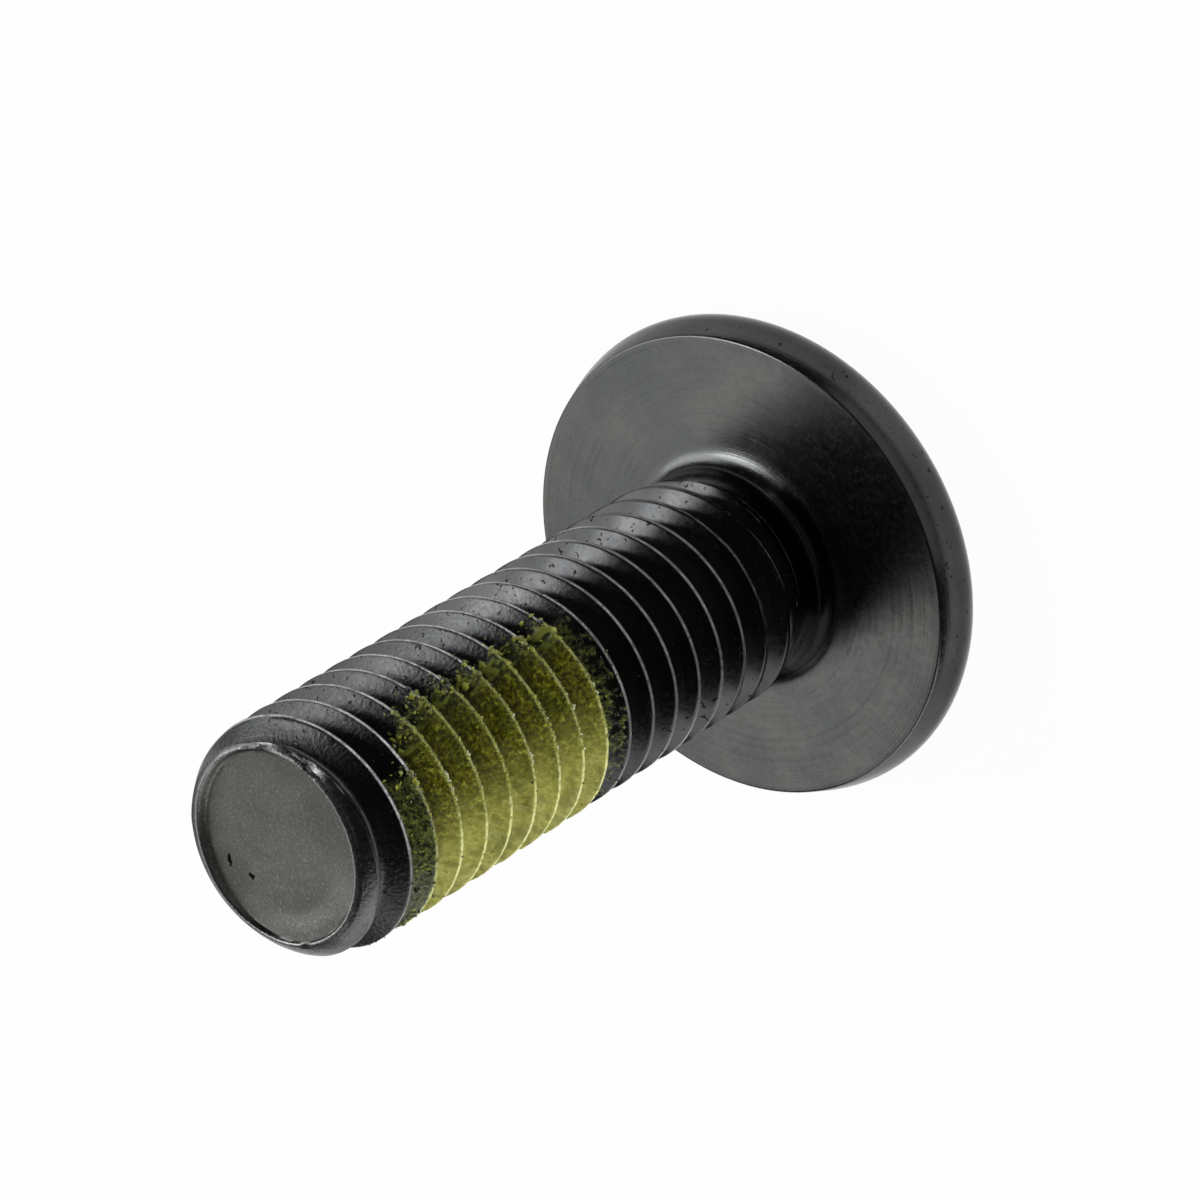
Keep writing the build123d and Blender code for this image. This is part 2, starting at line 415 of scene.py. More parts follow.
def tip_rings(angles):
    """Rings of the tip, from the collar over the lip to the middle of the dish."""
    turn = np.radians(angles)
    around = (2.2 * np.cos(turn), 2.2 * np.sin(turn))
    wave = field(around[0], around[1], 0.0, 3.1)
    fine = field(3 * around[0], 3 * around[1], 0.0, 7.7)
    lift = lip_wave * wave + lip_wave * fine - lip_wave
    oval = dish_wider - dish_oval * np.cos(np.radians(2 * (angles - dish_across)))
    shift = oval + lip_sway * field(2.5 * around[0], 2.5 * around[1], 5.0, 1.3)
    off = (angles - low_wall_at + 180) % 360 - 180
    gap = low_wall * np.exp(-((off / low_wall_reach) ** 2))
    rings = []
    for r, z, part in lip_profile:
        height = tip_z - tip_drop + z + lift * part
        if r < wall_from:
            height = np.maximum(height, tip_z - wall_drop - floor_depth + gap)
        rings.append((r + shift * part - 0.5 * knocks(angles, height), height - knocks(angles, height)))
    for step in range(floor_rings):
        share = 1 - step / floor_rings
        radius = (floor_radius + oval) * share
        sag = floor_sag * (1 - share**2) - gap * smooth(share, *low_wall_over)
        x, y = radius * np.cos(turn), radius * np.sin(turn)
        rough = floor_waves * field(1.3 * x, 1.3 * y, 0.0, 2.0)
        rough = rough + floor_grain * field(4 * x, 4 * y, 0.0, 4.0)
        rings.append((radius, tip_z - tip_drop - floor_depth - sag + rough))
    return rings


def nick(angle, z, at_angle, at_z, size_angle, size_z):
    """How much of a small knock reaches each point, from 0 to 1."""
    off = ((angle - at_angle + 180) % 360 - 180) / size_angle
    return np.clip(1 - off**2 - ((z - at_z) / size_z) ** 2, 0, 1)


def knocks(angle, z):
    """Depth of the small knocks on the lip and on the start of the first crest."""
    return sum(
        depth * nick(angle, z, at, tip_z - below, wide, high)
        for depth, at, below, wide, high in knock_places
    )


def steel_surface(angle, helix_z, top):
    """Radius and height of the rolled thread with its burrs, for a point of the plain helix."""
    phase = phase_at(angle, helix_z)
    z = pushed(helix_z)
    radius = shank_radius(angle, z, helix_z)
    turn = np.radians(angle)
    inside = smooth(helix_z, neck_top + 0.3, neck_top + 0.8) * (helix_z < top)
    x, y = crest_radius * np.cos(turn), crest_radius * np.sin(turn)
    crest = np.clip(1 - np.abs(phase) / 0.1, 0, 1)
    burr = burr_coarse * field(2.5 * x, 2.5 * y, 2.5 * z, 9.0)
    burr = burr + burr_fine * field(7 * x, 7 * y, 7 * z, 5.0)
    radius = radius + inside * (crest * burr - knocks(angle, z))
    return radius, z + inside * crest * crest_sway * field(3 * x, 3 * y, 3 * z, 21.0)


def sheet_faces(count, width, shift=None):
    """Faces of a sheet of columns of points; shift joins the last column to the first, one turn up."""
    faces = []
    for column in range(width if shift else width - 1):
        after, up = (column + 1, 0) if column + 1 < width else (0, shift)
        for row in range(count - 1 - up):
            a, b = column * count + row, after * count + row + up
            faces.append((a, b, b + 1, a + 1))
    return faces


def helix_sheet():
    """Radius, angle, height and thread phase of the sheet that follows the thread, and its faces."""
    angles = front + 360 * np.arange(columns) / columns
    top = sheet_top
    for _ in range(12):
        top -= pushed(top) - sheet_top
    rows = sheet_rows(neck_top, top, pitch)
    helix_z = np.clip(rows[None, :] + pitch * (angles[:, None] - front) / 360, neck_top, top)
    angle = np.broadcast_to(angles[:, None], helix_z.shape)
    radius, z = steel_surface(angle, helix_z, top)
    phase = phase_at(angle, helix_z)
    parts = [part.ravel() for part in (radius, angle, z, phase)]
    return parts, sheet_faces(len(rows), columns, len(phases))


def ring_faces(first, rings):
    """Faces between rings of points, with the last ring closed."""
    faces = []
    for ring in range(rings - 1):
        low, high = first + ring * columns, first + (ring + 1) * columns
        for column in range(columns):
            after = (column + 1) % columns
            faces.append((low + column, low + after, high + after, high + column))
    last = first + (rings - 1) * columns
    faces.append(tuple(last + column for column in range(columns)))
    return faces


def bare_crests(radius, angle, z, phase):
    """How far the oxide is worn off the crests, from 0 to 1: a thin jagged line, fainter to the neck."""
    turn = np.radians(angle)
    x, y = crest_radius * np.cos(turn), crest_radius * np.sin(turn)
    jagged = 0.012 * field(5 * x, 5 * y, 5 * z, 31.0) + 0.01 * field(2 * x, 2 * y, 2 * z, 32.0)
    thin = bare_thinner * smooth(tip_z - z, *bare_thinner_over)
    line = 1 - smooth(np.abs(phase) + jagged, bare_line[0] - thin, bare_line[1] - thin)
    line = line * smooth(radius, crest_radius - 0.3, crest_radius - 0.06)
    # Near the tip the lead cuts the crests down, and the bare line follows their back corner.
    cut = 1 - smooth(np.abs(lead_radius_at(angle, z) - thread_radius(phase)), 0.01, 0.05)
    cut = cut * (phase < 0) * (z > tip_z - tip_round)
    past_front = (front - angle) % 360
    fainter_side = 1 - bare_less * smooth(past_front, *less_start) * (1 - smooth(past_front, *less_end))
    away = 1 - bare_fainter * smooth(tip_z - z, *bare_fainter_over)
    away = away * fainter_side * smooth(z, neck_top + 0.6, neck_top + 3.0)
    on_thread = (z > neck_top + 0.2) & (z < sheet_top) & (radius > floor_radius + 0.2)
    return on_thread * np.maximum(line, 0.6 * cut) * away


def screw_marks(radius, angle, z, phase):
    """Numbers for the steel's material, which say where each of its finishes lies."""
    end_face = smooth(z, tip_z - 0.5, tip_z - 0.45) * (1 - smooth(radius, 3.08, 3.2))
    lip = smooth(z, tip_z - 0.07, tip_z - 0.03) * smooth(radius, 3.08, 3.13)
    knocked = 0.7 * smooth(knocks(angle, z), 0.015, 0.06) * (radius > floor_radius)
    rolled = smooth(z, head_height + 0.02, head_height + 0.5) * (1 - end_face)
    rolled = rolled * (1 - 0.6 * smooth(z, tip_z - 1.3, tip_z - 0.4))
    rim = smooth(radius, bearing_radius - 0.1, bearing_radius + 0.1)
    neck = smooth(z, head_height + 0.004, head_height + 0.08)
    neck = neck * (1 - smooth(z, neck_top, neck_top + 1.0))
    past_front = (front - angle) % 360
    side, back, ends = film_reach(angle, z)
    reach = np.minimum(np.minimum(side + 0.4, back + 0.6), ends + film_fringe)
    return {
        "bare": np.maximum(bare_crests(radius, angle, z, phase), knocked),
        "end_face": end_face,
        "lip": lip * (1 - smooth(radius, 3.25, 3.36)),
        "rolled": np.maximum(rolled, 0.95 * rim),
        "stain": smooth(reach, -0.2, 1.3) * (z > neck_top),
        "matt": smooth(z, neck_top + 4, tip_z - 3) * (1 - end_face),
        # Painted shade on one side of the neck and the fillet, which darkens their reflection there
        "neck_shade": neck * (1 - smooth(np.abs((past_front + 20) % 360 - 75), 65, 95)),
    }


def build_screw():
    """One closed mesh: a helical sheet for the thread, with rings for the tip and the head."""
    sheet, faces = helix_sheet()
    angles = front + 360 * np.arange(columns) / columns
    in_helix = sheet_top - (pushed(sheet_top) - sheet_top)
    edge = shank_radius(angles, np.full_like(angles, sheet_top), np.full_like(angles, in_helix))
    neck_edge = shank_radius(angles, np.full_like(angles, neck_top))
    parts = [sheet]
    for rings in (
        [(edge, sheet_top)] + tip_rings(angles),
        [(neck_edge, neck_top)] + head_section() + recess_rings(angles),
    ):
        faces += ring_faces(sum(len(part[0]) for part in parts), len(rings))
        radius = np.concatenate([np.broadcast_to(r, angles.shape) for r, _ in rings])
        height = np.concatenate([np.broadcast_to(h, angles.shape) for _, h in rings])
        angle = np.tile(angles, len(rings))
        parts.append([radius, angle, height, np.full_like(radius, 0.5)])
    radius, angle, z, phase = (np.concatenate(column) for column in zip(*parts))
    marks = screw_marks(radius, angle, z, phase)
    return make_mesh("screw_body", to_points(radius, angle, z), faces, marks)


screw = build_screw()
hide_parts("screw")
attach(screw, "root")


# ------------------------------------------------------------------ thread-locking film
def film_zones(angle, z):
    """Where the thick film lies, its rough front edge, and three sizes of noise."""
    turn = np.radians(angle)
    x, y = crest_radius * np.cos(turn), crest_radius * np.sin(turn)
    coarse = field(0.9 * x, 0.9 * y, 0.9 * z, 11.0)
    grain = field(3.4 * x, 3.4 * y, 3.4 * z, 12.0)
    fine = field(7 * x, 7 * y, 7 * z, 13.0)
    side, back, ends = film_reach(angle, z)
    edge = (1 - smooth(side, 0.4, 1.5)) * smooth(side, -0.9, -0.1)
    ragged = 0.3 * coarse + 0.6 * grain + 0.5 * fine
    holes = edge * 0.9 * np.maximum(0.15 - grain, 0)
    round_it = np.minimum(side, back + 0.9 * coarse) + 0.6 * ragged - holes
    along_it = 2.0 * ends + 0.12 * ragged
    return smooth(np.minimum(round_it, along_it), 0.0, 0.22), edge, (coarse, grain, fine)


def off_surface(phase):
    """Radial and axial parts of the thread's outward normal."""
    flank = smooth(np.abs(phase), 0.05, 0.09) * (1 - smooth(np.abs(phase), 0.38, 0.48))
    axial = np.sign(phase) * cos(radians(30)) * flank
    return np.sqrt(1 - axial**2), axial


def build_film():
    """A skin over the thread that dips below the steel wherever the film ends."""
    angles = np.linspace(film_from, film_to, film_columns)
    rows = sheet_rows(film_base, film_top, pitch)
    helix_z = np.clip(rows[None, :] + pitch * (angles[:, None] - front) / 360, film_base, film_top)
    angle = np.broadcast_to(angles[:, None], helix_z.shape)
    phase = phase_at(angle, helix_z)
    steel, z = steel_surface(angle, helix_z, sheet_top)
    full, edge, (coarse, grain, fine) = film_zones(angle, z)
    root = smooth(np.abs(phase), 0.08, 0.5)
    pool = film_skin + (film_pool + film_pool_wave * coarse) * root**1.5 * (1 - 0.6 * edge)
    lumps = film_grain * grain + film_fine * fine
    lumps = lumps + edge * edge_lumps * np.maximum(fine + 0.5 * grain, 0)
    thickness = full * (pool + lumps) - film_dip * (1 - full)
    outward, upward = off_surface(phase)
    # How far round towards the lower side, where painted light from below makes the film and its crest
    # lines paler and the lines wider
    low = smooth(film_reach(angle, z)[0] / per_degree, pale_from, pale_to)
    marks = {
        "full": full,
        "edge": edge,
        "crest": 1 - smooth(np.abs(phase) - 0.012 * low, 0.018, 0.048),
        # Towards the roots, where painted shade darkens the film
        "root": smooth(np.abs(phase), 0.1, 0.45),
        # Height of the lumps, for painted shade in the hollows and painted light on the lumps
        "relief": 0.5 + 0.6 * grain + 0.7 * fine,
        "low": low,
    }
    marks = {name: values.ravel() for name, values in marks.items()}
    points = to_points(steel + outward * thickness, angle, z + upward * thickness)
    return make_mesh("thread_lock_film", points, sheet_faces(len(rows), film_columns), marks, sharp=0)


def edge_crumbs(random):
    """Angle, height, size and tone of the crumbs at the film's edges."""
    angle = random.uniform(film_from + 8, film_to - 2, crumb_tries)
    z = random.uniform(film_base, film_top, crumb_tries)
    side, _, ends = film_reach(angle, z)
    front_edge = np.exp(-(((side - 0.25) / 0.5) ** 2)) * smooth(ends, -0.5, 0.4)
    fringe = smooth(ends, -film_fringe, 0.0)
    tip_edge = fringe * (1 - smooth(ends, 0.0, 0.4)) * (z > film_middle)
    head_edge = fringe * (1 - smooth(ends, 0.0, 0.3)) * (z < film_middle)
    stray = stray_share * smooth(side, -1.8, -0.8)
    inside = smooth(side, -0.6, 0.2)
    chance = edge_share * front_edge + inside * (tip_share * tip_edge + head_share * head_edge) + stray
    kept = random.uniform(size=crumb_tries) < chance
    angle, z = angle[kept], z[kept]
    near = np.exp(-(((film_reach(angle, z)[0] - 0.25) / 0.6) ** 2))
    size = crumb_least + crumb_more * random.uniform(size=len(z)) ** 3.0 * (0.3 + 0.7 * near)
    tone = random.uniform(size=len(z)) ** (1.8 - 0.9 * near)
    tone = np.minimum(tone, 1.15 - 5 * size)
    # A few small crumbs near the front edge are painted white as glints
    glint = (size < 0.045) & (random.uniform(size=len(z)) < 0.12 * near)
    return angle, z, size, np.where(glint, 1.15, tone)


def crest_beads(random):
    """Angle, height, size and tone of the beads along the film's crests."""
    angle = random.uniform(film_from + 12, film_to - 24, bead_tries)
    turn = np.floor(random.uniform(film_low, film_high, bead_tries) / pitch) * pitch
    z = turn + (tip_z - first_crest) % pitch + pitch * ((angle - front) / 360)
    z = z + random.uniform(-0.05, 0.05, bead_tries)
    side, _, ends = film_reach(angle, z)
    kept = (side > 0.1) & (side < 4.5) & (ends > 0.1)
    angle, z = angle[kept], z[kept]
    size = bead_least + bead_more * random.uniform(size=len(z)) ** 2
    tone = 0.55 + 0.3 * random.uniform(size=len(z))
    # A few of them, far from the film's front edge, are painted white and bright as glints, and sit
    # behind the crest
    glinting = (random.uniform(size=len(z)) < 0.1) & (film_reach(angle, z)[0] > 2.2)
    return angle, z - 0.07 * glinting, size * (1 + 0.3 * glinting), np.where(glinting, 1.2, tone)


def lump_shapes(random, count):
    """Points of as many small lumps about the origin, and the faces of one of them."""
    ball = bmesh.new()
    bmesh.ops.create_icosphere(ball, subdivisions=2, radius=1.0)
    unit = np.array([v.co[:] for v in ball.verts])
    faces = np.array([[v.index for v in f.verts] for f in ball.faces])
    ball.free()
    # A random turn for each lump, from three random directions made square to each other
    turns, _ = np.linalg.qr(random.normal(size=(count, 3, 3)))
    stretch = random.uniform(0.35, 1.6, (count, 1, 3))
    bumps = random.uniform(0.5, 1.3, (count, len(unit), 1))
    return np.einsum("nij,nkj->nki", turns, unit[None] * stretch * bumps), faces


def build_crumbs():
    """Loose crumbs and beads of dried adhesive, each a small lump sunk into the surface."""
    random = np.random.default_rng(crumb_seed)
    both = zip(edge_crumbs(random), crest_beads(random))
    angle, z, size, tone = (np.concatenate(pair) for pair in both)
    steel, height = steel_surface(angle, z, sheet_top)
    outward, upward = off_surface(phase_at(angle, z))
    lift = 0.015 + 0.05 * size
    centres = to_points(steel + outward * lift, angle, height + upward * lift)
    shapes, lump_faces = lump_shapes(random, len(z))
    corners = shapes.shape[1]
    points = centres[:, None, :] + shapes * size[:, None, None]
    faces = (lump_faces[None] + corners * np.arange(len(z))[:, None, None]).reshape(-1, 3)
    faces = [tuple(face) for face in faces.tolist()]
    marks = {"tone": np.repeat(tone, corners)}
    return make_mesh("thread_lock_crumbs", points.reshape(-1, 3), faces, marks, sharp=0)


film = build_film()
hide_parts("thread_lock_patch")
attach(film, "root")
crumbs = build_crumbs()
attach(crumbs, "root")


# ------------------------------------------------------------------ materials
# Linear colours. A pair is what a noise mixes, from its low values to its high ones.
oxide_tones = (0.122, 0.128, 0.124), (0.158, 0.16, 0.152)
rolled_tones = (0.040, 0.041, 0.042), (0.060, 0.061, 0.061)
# Painted shade for one side of the neck and the fillet:
painted_neck_shade = (0.010, 0.010, 0.011)
oxide_pit = (0.008, 0.008, 0.008)
face_tones = (0.135, 0.133, 0.123), (0.185, 0.182, 0.170)
face_light, face_dark = (0.4, 0.4, 0.385), (0.08, 0.08, 0.075)
face_pit = (0.004, 0.004, 0.004)
bare_tones = (0.32, 0.32, 0.33), (0.62, 0.62, 0.62)
stain_tones = (0.008, 0.011, 0.004), (0.095, 0.11, 0.025)
stain_light = (0.30, 0.31, 0.06)
olive_tones = (0.085, 0.083, 0.001), (0.165, 0.163, 0.002)
olive_light = (0.42, 0.44, 0.04)
olive_brown, olive_green = (0.12, 0.085, 0.001), (0.070, 0.098, 0.006)
# The root tone is painted shade in the thread's roots
painted_root_shade, olive_dark = (0.055, 0.048, 0.001), (0.016, 0.017, 0.001)
# Painted light from below: the film's colour on its lower side
film_tones_lit_below = (0.3, 0.295, 0.04), (0.42, 0.42, 0.09)
pale_patch = (0.2, 0.19, 0.02)
# The crust, from painted shade in its hollows to painted light on its lumps:
crust_and_hollow_shade_tones = (0.005, 0.008, 0.002), (0.15, 0.17, 0.02)
# Crest lines of the film, paler towards the lower side under painted light from below
crest_line_tones_lit_below = (0.36, 0.40, 0.11), (0.78, 0.8, 0.3)
crumb_tones = (0.006, 0.009, 0.002), (0.13, 0.14, 0.010)
# The last of these three is a painted glint, which the glinting crumbs mix with the pale one
crumb_yellow, crumb_pale, crumb_painted_glint = (0.36, 0.38, 0.045), (0.62, 0.66, 0.36), (0.66, 0.68, 0.42)
floor_white = (0.86, 0.87, 0.87)
face_pits = (
    # x, y, length, width and turn of each pit in the end face
    (0.53, 2.40, 0.22, 0.08, -24),
    (-0.27, 1.95, 0.13, 0.11, 20),
)


class Nodes:
    """A short way to write a material's node tree."""

    def __init__(self, name):
        self.material = bpy.data.materials.new(name)
        self.material.use_nodes = True
        self.tree = self.material.node_tree
        self.tree.nodes.clear()
        self.shader = self.add("ShaderNodeBsdfPrincipled")
        output = self.add("ShaderNodeOutputMaterial")
        self.link(self.shader.outputs["BSDF"], output.inputs["Surface"])
        self.place = self.add("ShaderNodeTexCoord").outputs["Object"]

    def add(self, kind, **settings):
        """A new node with its settings."""
        node = self.tree.nodes.new(kind)
        for key, value in settings.items():
            setattr(node, key, value)
        return node

    def link(self, source, target):
        """A link between two sockets."""
        self.tree.links.new(source, target)

    def attribute(self, name):
        """One of the numbers that the mesh carries on its points."""
        return self.add("ShaderNodeAttribute", attribute_name=name).outputs["Fac"]

    def put(self, value, socket):
        """A link into the socket, or a plain value on it."""
        if isinstance(value, bpy.types.NodeSocket):
            self.link(value, socket)
        else:
            socket.default_value = value

    def put_colour(self, colour, socket):
        """A link into a colour's socket, or a plain opaque colour on it."""
        if isinstance(colour, bpy.types.NodeSocket):
            self.link(colour, socket)
        else:
            socket.default_value = (*colour, 1)

    def math(self, operation, a, b=0.0):
        """One step of arithmetic."""
        node = self.add("ShaderNodeMath", operation=operation)
        self.put(a, node.inputs[0])
        self.put(b, node.inputs[1])
        return node.outputs[0]

    def times(self, a, b):
        """The product of two numbers."""
        return self.math("MULTIPLY", a, b)

    def plus(self, a, b):
        """The sum of two numbers."""
        return self.math("ADD", a, b)

    def rest(self, value):
        """What is left of 1."""
        return self.math("SUBTRACT", 1.0, value)

    def span(self, value, low, high, to_low=0.0, to_high=1.0):
        """A smooth step from to_low to to_high while the value goes from low to high."""
        node = self.add("ShaderNodeMapRange", interpolation_type="SMOOTHSTEP")
        self.put(value, node.inputs["Value"])
        sockets = ("From Min", "From Max", "To Min", "To Max")
        for socket, number in zip(sockets, (low, high, to_low, to_high)):
            node.inputs[socket].default_value = number
        return node.outputs["Result"]

    def mix(self, share, a, b):
        """Two colours mixed: a where the share is 0 and b where it is 1."""
        node = self.add("ShaderNodeMix", data_type="RGBA")
        self.put(share, node.inputs["Factor"])
        self.put_colour(a, node.inputs[6])
        self.put_colour(b, node.inputs[7])
        return node.outputs[2]

    def noise(self, per_mm, detail=3.0, stretch=(1, 1, 1), turn=0.0, rough=0.55):
        """Noise of about this many lumps a millimetre, which may be drawn out and turned."""
        mapping = self.add("ShaderNodeMapping")
        self.link(self.place, mapping.inputs["Vector"])
        mapping.inputs["Rotation"].default_value = (0, 0, radians(turn))
        mapping.inputs["Scale"].default_value = stretch
        node = self.add("ShaderNodeTexNoise")
        self.link(mapping.outputs["Vector"], node.inputs["Vector"])
        node.inputs["Scale"].default_value = per_mm / MM
        node.inputs["Detail"].default_value = detail
        node.inputs["Roughness"].default_value = rough
        return node.outputs["Fac"]

    def bump(self, height, depth_mm, normal=None):
        """A normal bent by a height field, on top of another normal."""
        node = self.add("ShaderNodeBump")
        self.put(height, node.inputs["Height"])
        node.inputs["Distance"].default_value = depth_mm * MM
        if normal:
            self.link(normal, node.inputs["Normal"])
        return node.outputs["Normal"]

    def radius(self):
        """Distance from the axis of the screw, in millimetres."""
        split = self.add("ShaderNodeSeparateXYZ")
        self.link(self.place, split.inputs["Vector"])
        squares = [self.times(split.outputs[i], split.outputs[i]) for i in (0, 1)]
        root = self.math("SQRT", self.plus(*squares))
        return self.math("DIVIDE", root, MM)


def end_face_pits(m):
    """Two small black pits in the end face: 1 in a pit and 0 outside."""
    ragged = m.times(m.math("SUBTRACT", m.noise(9.0, 3.0), 0.5), 2.4)
    pits = 0.0
    for x, y, length, width, turn in face_pits:
        mapping = m.add("ShaderNodeMapping", vector_type="TEXTURE")
        m.link(m.place, mapping.inputs["Vector"])
        mapping.inputs["Location"].default_value = (x * MM, y * MM, tip_z * MM)
        mapping.inputs["Rotation"].default_value = (0, 0, radians(turn))
        mapping.inputs["Scale"].default_value = (length * MM, width * MM, 1.0)
        reach = m.add("ShaderNodeVectorMath", operation="LENGTH")
        m.link(mapping.outputs["Vector"], reach.inputs[0])
        pit = m.span(m.plus(reach.outputs["Value"], ragged), 1.1, 0.8)
        pits = m.math("MAXIMUM", pits, pit)
    return m.times(pits, m.attribute("end_face"))


def stained(m, colour):
    """The steel's colour with the film's thin green stain on it, and how much of it is stained."""
    mottle = m.noise(3.5, 5.0, rough=0.7)
    reach = m.attribute("stain")
    share = m.span(m.plus(mottle, m.times(reach, 0.4)), 0.64, 0.72)
    share = m.times(share, m.span(reach, 0.02, 0.2))
    tone = m.noise(6.0, 4.0, rough=0.7)
    green = m.mix(m.span(tone, 0.38, 0.6), *stain_tones)
    green = m.mix(m.span(tone, 0.6, 0.68), green, stain_light)
    return m.mix(share, colour, green), share


def oxide_colour(m, cloud, pits):
    """The oxide's colour: paler on the turned head, darker where it is rolled, with painted shade on one
    side of the neck and small pits.
    """
    oxide = m.mix(m.span(cloud, 0.35, 0.7), *oxide_tones)
    rolled = m.mix(m.span(cloud, 0.35, 0.7), *rolled_tones)
    oxide = m.mix(m.attribute("rolled"), oxide, rolled)
    # Painted shade on one side of the neck and the fillet
    oxide = m.mix(m.attribute("neck_shade"), oxide, painted_neck_shade)
    return m.mix(pits, oxide, oxide_pit)


def end_face_colour(m, oxide, speck):
    """The colour with the mottled end face and its pits in it."""
    face = m.mix(m.span(m.noise(0.3, 2.0), 0.35, 0.65), *face_tones)
    face = m.mix(m.span(speck, 0.56, 0.74, 0.0, 0.6), face, face_light)
    face = m.mix(m.span(speck, 0.44, 0.3, 0.0, 0.5), face, face_dark)
    colour = m.mix(m.attribute("end_face"), oxide, face)
    return m.mix(end_face_pits(m), colour, face_pit)


def steel_roughness(m, worn):
    """Satin on the head, a little glossier where rolled, duller on the thread and the end face."""
    rough = m.span(m.noise(6.0, 3.0), 0.3, 0.7, 0.2, 0.28)
    for mark, more in (
        (m.attribute("rolled"), -0.04),
        (m.attribute("matt"), 0.07),
        (worn, 0.12),
        (m.attribute("end_face"), 0.25),
    ):
        rough = m.plus(rough, m.times(mark, more))
    return rough


def steel_normal(m, pits, stain):
    """Turned rings on the head, an even grain, pits, and draw lines along the end face."""
    rings = m.add("ShaderNodeTexNoise", noise_dimensions="1D")
    m.link(m.times(m.radius(), 6.0), rings.inputs["W"])
    turned = m.rest(m.math("MAXIMUM", m.attribute("rolled"), m.attribute("end_face")))
    turned = m.times(turned, m.span(m.noise(0.6, 2.0), 0.3, 0.6, 0.4, 1.0))
    normal = m.bump(m.times(rings.outputs["Fac"], turned), 0.006)
    normal = m.bump(m.noise(9.0, 3.0), 0.0009, normal)
    normal = m.bump(m.times(m.noise(8.0, 4.0), m.attribute("matt")), 0.018, normal)
    normal = m.bump(m.rest(pits), 0.01, normal)
    normal = m.bump(m.times(stain, m.noise(6.0, 4.0)), 0.008, normal)
    draw = m.times(m.noise(6.0, 4.0, (0.3, 1.8, 1), -24), m.attribute("end_face"))
    return m.bump(draw, 0.010, normal)


def steel_material():
    """Black oxide on steel: dark and satin, worn to bare grey on the crests and the lip."""
    m = Nodes("black_oxide_steel")
    s = m.shader.inputs
    speck = m.noise(14.0, 2.0)
    pits = m.times(m.span(m.noise(5.0, 2.0), 0.66, 0.7), m.attribute("rolled"))
    colour = oxide_colour(m, m.noise(0.35, 4.0), pits)
    colour = end_face_colour(m, colour, speck)
    colour, stain = stained(m, colour)
    bare = m.mix(m.span(speck, 0.35, 0.65), *bare_tones)
    broken = m.span(m.noise(2.6, 5.0, rough=0.7), 0.34, 0.58, 0.25, 1.0)
    worn = m.times(m.times(m.attribute("bare"), broken), m.rest(m.times(stain, 0.7)))
    colour = m.mix(worn, colour, bare)
    colour = m.mix(m.times(m.attribute("lip"), 0.6), colour, bare)
    m.link(colour, s["Base Color"])
    m.link(m.rest(stain), s["Metallic"])
    m.link(steel_roughness(m, worn), s["Roughness"])
    m.link(steel_normal(m, pits, stain), s["Normal"])
    return m.material


def film_body(m, grain, patch):
    """Olive where the film is thick and in the shade of its front edge, with painted shade towards the
    roots, and paler further round, where light from below is painted on.
    """
    olive = m.mix(m.span(grain, 0.38, 0.56), *olive_tones)
    olive = m.mix(m.span(grain, 0.54, 0.64), olive, olive_light)
    olive = m.mix(m.span(patch, 0.38, 0.5, 0.3, 0.0), olive, olive_brown)
    olive = m.mix(m.span(patch, 0.46, 0.62, 0.0, 0.7), olive, olive_green)
    # Painted shade towards the thread's roots
    olive = m.mix(m.times(m.attribute("root"), 0.75), olive, painted_root_shade)
    dark = m.span(m.noise(8.0, 4.0, rough=0.7), 0.47, 0.55, 0.0, 0.85)
    olive = m.mix(dark, olive, olive_dark)
    pale = m.mix(m.span(grain, 0.38, 0.62), *film_tones_lit_below)
    pale = m.mix(m.span(patch, 0.5, 0.65, 0.0, 0.8), pale, pale_patch)
    # Painted light from below on the film's lower side
    paler = m.times(m.attribute("low"), m.span(m.noise(0.5, 3.0), 0.3, 0.6, 0.6, 1.0))
    return m.mix(paler, olive, pale)


def film_material():
    """Dry adhesive: grainy olive, a dark crust at its rough edges with painted shade in its hollows and
    painted light on its lumps, and pale lines on the crests, paler where light from below is painted on.
    """
    m = Nodes("locking_film")
    s = m.shader.inputs
    s["Specular IOR Level"].default_value = 0.35
    s["Coat Weight"].default_value = 0.12
    s["Coat Roughness"].default_value = 0.1
    grain = m.noise(6.0, 5.0, rough=0.7)
    patch = m.noise(1.6, 3.0)
    speck = m.noise(6.0, 3.0)
    # Painted shade in the hollows between lumps and painted light on the lumps, from their height
    relief = m.plus(m.attribute("relief"), m.times(m.math("SUBTRACT", grain, 0.5), 2.0))
    crust = m.mix(m.span(relief, 0.45, 0.85), *crust_and_hollow_shade_tones)
    share = m.math("MAXIMUM", m.attribute("edge"), m.rest(m.attribute("full")))
    colour = m.mix(m.times(share, 0.9), film_body(m, grain, patch), crust)
    crest = m.times(m.attribute("crest"), m.attribute("full"))
    crest = m.times(crest, m.span(speck, 0.35, 0.55, 0.35, 1.0))
    # Painted light from below: the crest lines grow paler towards the lower side
    colour = m.mix(crest, colour, m.mix(m.attribute("low"), *crest_line_tones_lit_below))
    m.link(colour, s["Base Color"])
    m.link(m.span(m.noise(1.5, 3.0), 0.38, 0.55, 0.25, 0.55), s["Roughness"])
    normal = m.bump(patch, 0.05)
    normal = m.bump(grain, 0.03, normal)
    normal = m.bump(speck, 0.012, normal)
    m.link(normal, s["Normal"])
    return m.material


